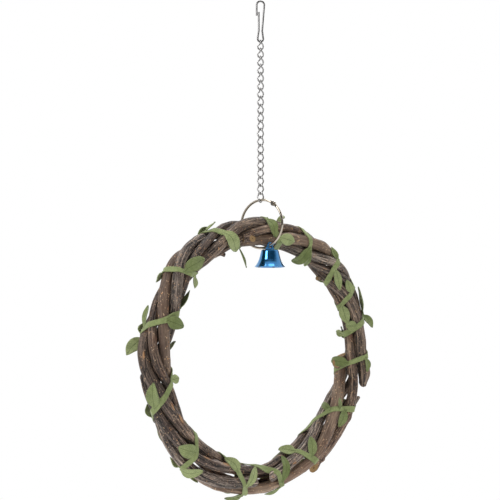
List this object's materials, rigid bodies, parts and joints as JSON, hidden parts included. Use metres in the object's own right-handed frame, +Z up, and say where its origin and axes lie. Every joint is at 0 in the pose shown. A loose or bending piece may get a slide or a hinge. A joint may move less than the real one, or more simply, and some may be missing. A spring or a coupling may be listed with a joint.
{
  "type": "bird swing",
  "caption": "Bird swing: ring of twisted vine canes wound with a felt leaf garland, hung from a loose-leaf ring, curb chain and spring-wire hook, with a small blue bell",
  "frame": {"origin": "Inside top of the hook's upper bend, where it bears on the bar or hook that carries it", "axes": "+Z is up, against the hang; the cane ring lies in the XZ plane and its front faces -Y; +X is to the right seen from the front"},
  "size_m": [0.2566, 0.0432, 0.4337],
  "materials": {
    "steel_wire": "bright plated",
    "ring_nickel": "polished nickel",
    "bell_blue": "clear blue lacquer over bright metal",
    "clapper_steel": "plain",
    "cane_brown": "smooth bark",
    "cane_thin": "bark",
    "cane_forked": "bark",
    "cane_dark": "rough bark",
    "cane_grey": "flaking bark",
    "felt_green": "felt"
  },
  "bodies": {
    "hook": {"hook_body": "steel_wire"},
    "gate": {"hook_gate": "steel_wire"},
    "link_01": {"chain_link_01": "steel_wire"},
    "link_02": {"chain_link_02": "steel_wire"},
    "link_03": {"chain_link_03": "steel_wire"},
    "link_04": {"chain_link_04": "steel_wire"},
    "link_05": {"chain_link_05": "steel_wire"},
    "link_06": {"chain_link_06": "steel_wire"},
    "link_07": {"chain_link_07": "steel_wire"},
    "link_08": {"chain_link_08": "steel_wire"},
    "link_09": {"chain_link_09": "steel_wire"},
    "link_10": {"chain_link_10": "steel_wire"},
    "link_11": {"chain_link_11": "steel_wire"},
    "link_12": {"chain_link_12": "steel_wire"},
    "link_13": {"chain_link_13": "steel_wire"},
    "link_14": {"chain_link_14": "steel_wire"},
    "link_15": {"chain_link_15": "steel_wire"},
    "link_16": {"chain_link_16": "steel_wire"},
    "link_17": {"chain_link_17": "steel_wire"},
    "link_18": {"chain_link_18": "steel_wire"},
    "link_19": {"chain_link_19": "steel_wire"},
    "link_20": {"chain_link_20": "steel_wire"},
    "ring_upper": {"ring_half_upper": "ring_nickel", "ring_hinge_pin": "ring_nickel"},
    "ring_lower": {"ring_half_lower": "ring_nickel"},
    "wreath": {"cane_brown": "cane_brown", "cane_thin": "cane_thin", "cane_forked": "cane_forked", "cane_dark": "cane_dark", "cane_grey": "cane_grey", "leaf_garland": "felt_green"},
    "bell": {"bell_shell": "bell_blue", "bell_hanger": "bell_blue", "clapper_staple": "clapper_steel"},
    "clapper": {"bell_clapper": "clapper_steel"}
  },
  "joints": [
    {"name": "gate_spring", "type": "hinge", "parent": "hook", "child": "gate", "pos_m": [-0.00194, 0.00141, -0.032], "axis": [0.5878, 0.809, 0], "range_deg": [0, 6], "stiffness_Nm_per_rad": 0.3},
    {"name": "chain_joint_01", "type": "hinge", "parent": "hook", "child": "link_01", "pos_m": [0, 0, -0.0346], "axis": [0.809, -0.5878, 0], "range_deg": [-35, 35]},
    {"name": "chain_joint_02", "type": "hinge", "parent": "link_01", "child": "link_02", "pos_m": [0, 0, -0.04], "axis": [-0.5446, -0.8387, 0], "range_deg": [-35, 35]},
    {"name": "chain_joint_03", "type": "hinge", "parent": "link_02", "child": "link_03", "pos_m": [0, 0, -0.04847], "axis": [-0.8387, 0.5446, 0], "range_deg": [-35, 35]},
    {"name": "chain_joint_04", "type": "hinge", "parent": "link_03", "child": "link_04", "pos_m": [0, 0, -0.054], "axis": [0.454, 0.891, 0], "range_deg": [-35, 35]},
    {"name": "chain_joint_05", "type": "hinge", "parent": "link_04", "child": "link_05", "pos_m": [0, 0, -0.06248], "axis": [0.891, -0.454, 0], "range_deg": [-35, 35]},
    {"name": "chain_joint_06", "type": "hinge", "parent": "link_05", "child": "link_06", "pos_m": [0, 0, -0.068], "axis": [-0.3584, -0.9336, 0], "range_deg": [-35, 35]},
    {"name": "chain_joint_07", "type": "hinge", "parent": "link_06", "child": "link_07", "pos_m": [0, 0, -0.07648], "axis": [-0.9336, 0.3584, 0], "range_deg": [-35, 35]},
    {"name": "chain_joint_08", "type": "hinge", "parent": "link_07", "child": "link_08", "pos_m": [0, 0, -0.082], "axis": [0.2588, 0.9659, 0], "range_deg": [-35, 35]},
    {"name": "chain_joint_09", "type": "hinge", "parent": "link_08", "child": "link_09", "pos_m": [0, 0, -0.09047], "axis": [0.9659, -0.2588, 0], "range_deg": [-35, 35]},
    {"name": "chain_joint_10", "type": "hinge", "parent": "link_09", "child": "link_10", "pos_m": [0, 0, -0.096], "axis": [-0.1564, -0.9877, 0], "range_deg": [-35, 35]},
    {"name": "chain_joint_11", "type": "hinge", "parent": "link_10", "child": "link_11", "pos_m": [0, 0, -0.10447], "axis": [-0.9877, 0.1564, 0], "range_deg": [-35, 35]},
    {"name": "chain_joint_12", "type": "hinge", "parent": "link_11", "child": "link_12", "pos_m": [0, 0, -0.11001], "axis": [0.0523, 0.9986, 0], "range_deg": [-35, 35]},
    {"name": "chain_joint_13", "type": "hinge", "parent": "link_12", "child": "link_13", "pos_m": [0, 0, -0.11847], "axis": [0.9986, -0.0523, 0], "range_deg": [-35, 35]},
    {"name": "chain_joint_14", "type": "hinge", "parent": "link_13", "child": "link_14", "pos_m": [0, 0, -0.12401], "axis": [0.0523, -0.9986, 0], "range_deg": [-35, 35]},
    {"name": "chain_joint_15", "type": "hinge", "parent": "link_14", "child": "link_15", "pos_m": [0, 0, -0.13248], "axis": [-0.9986, -0.0523, 0], "range_deg": [-35, 35]},
    {"name": "chain_joint_16", "type": "hinge", "parent": "link_15", "child": "link_16", "pos_m": [0, 0, -0.138], "axis": [-0.1564, 0.9877, 0], "range_deg": [-35, 35]},
    {"name": "chain_joint_17", "type": "hinge", "parent": "link_16", "child": "link_17", "pos_m": [0, 0, -0.14647], "axis": [0.9877, 0.1564, 0], "range_deg": [-35, 35]},
    {"name": "chain_joint_18", "type": "hinge", "parent": "link_17", "child": "link_18", "pos_m": [0, 0, -0.15201], "axis": [0.2588, -0.9659, 0], "range_deg": [-35, 35]},
    {"name": "chain_joint_19", "type": "hinge", "parent": "link_18", "child": "link_19", "pos_m": [0, 0, -0.16048], "axis": [-0.9659, -0.2588, 0], "range_deg": [-35, 35]},
    {"name": "chain_joint_20", "type": "hinge", "parent": "link_19", "child": "link_20", "pos_m": [0, 0, -0.16601], "axis": [-0.3584, 0.9336, 0], "range_deg": [-35, 35]},
    {"name": "ring_hang", "type": "hinge", "parent": "link_20", "child": "ring_upper", "pos_m": [0, 0, -0.17447], "axis": [0.9336, 0.3584, 0], "range_deg": [-30, 30]},
    {"name": "ring_opening", "type": "hinge", "parent": "ring_upper", "child": "ring_lower", "pos_m": [0.00471, -0.01227, -0.17635], "axis": [-0.9336, -0.3584, 0], "range_deg": [0, 30]},
    {"name": "wreath_rock", "type": "hinge", "parent": "ring_lower", "child": "wreath", "pos_m": [0.00039, -0.00103, -0.19355], "axis": [0.9336, 0.3584, 0], "range_deg": [-10, 6]},
    {"name": "bell_swing", "type": "hinge", "parent": "ring_lower", "child": "bell", "pos_m": [0.00346, -0.009, -0.21274], "axis": [0.3274, -0.8529, 0.4067], "range_deg": [-20, 20]},
    {"name": "clapper_swing", "type": "hinge", "parent": "bell", "child": "clapper", "pos_m": [0.00346, -0.009, -0.21874], "axis": [0.9986, 0.0523, 0], "range_deg": [-30, 30]}
  ]
}
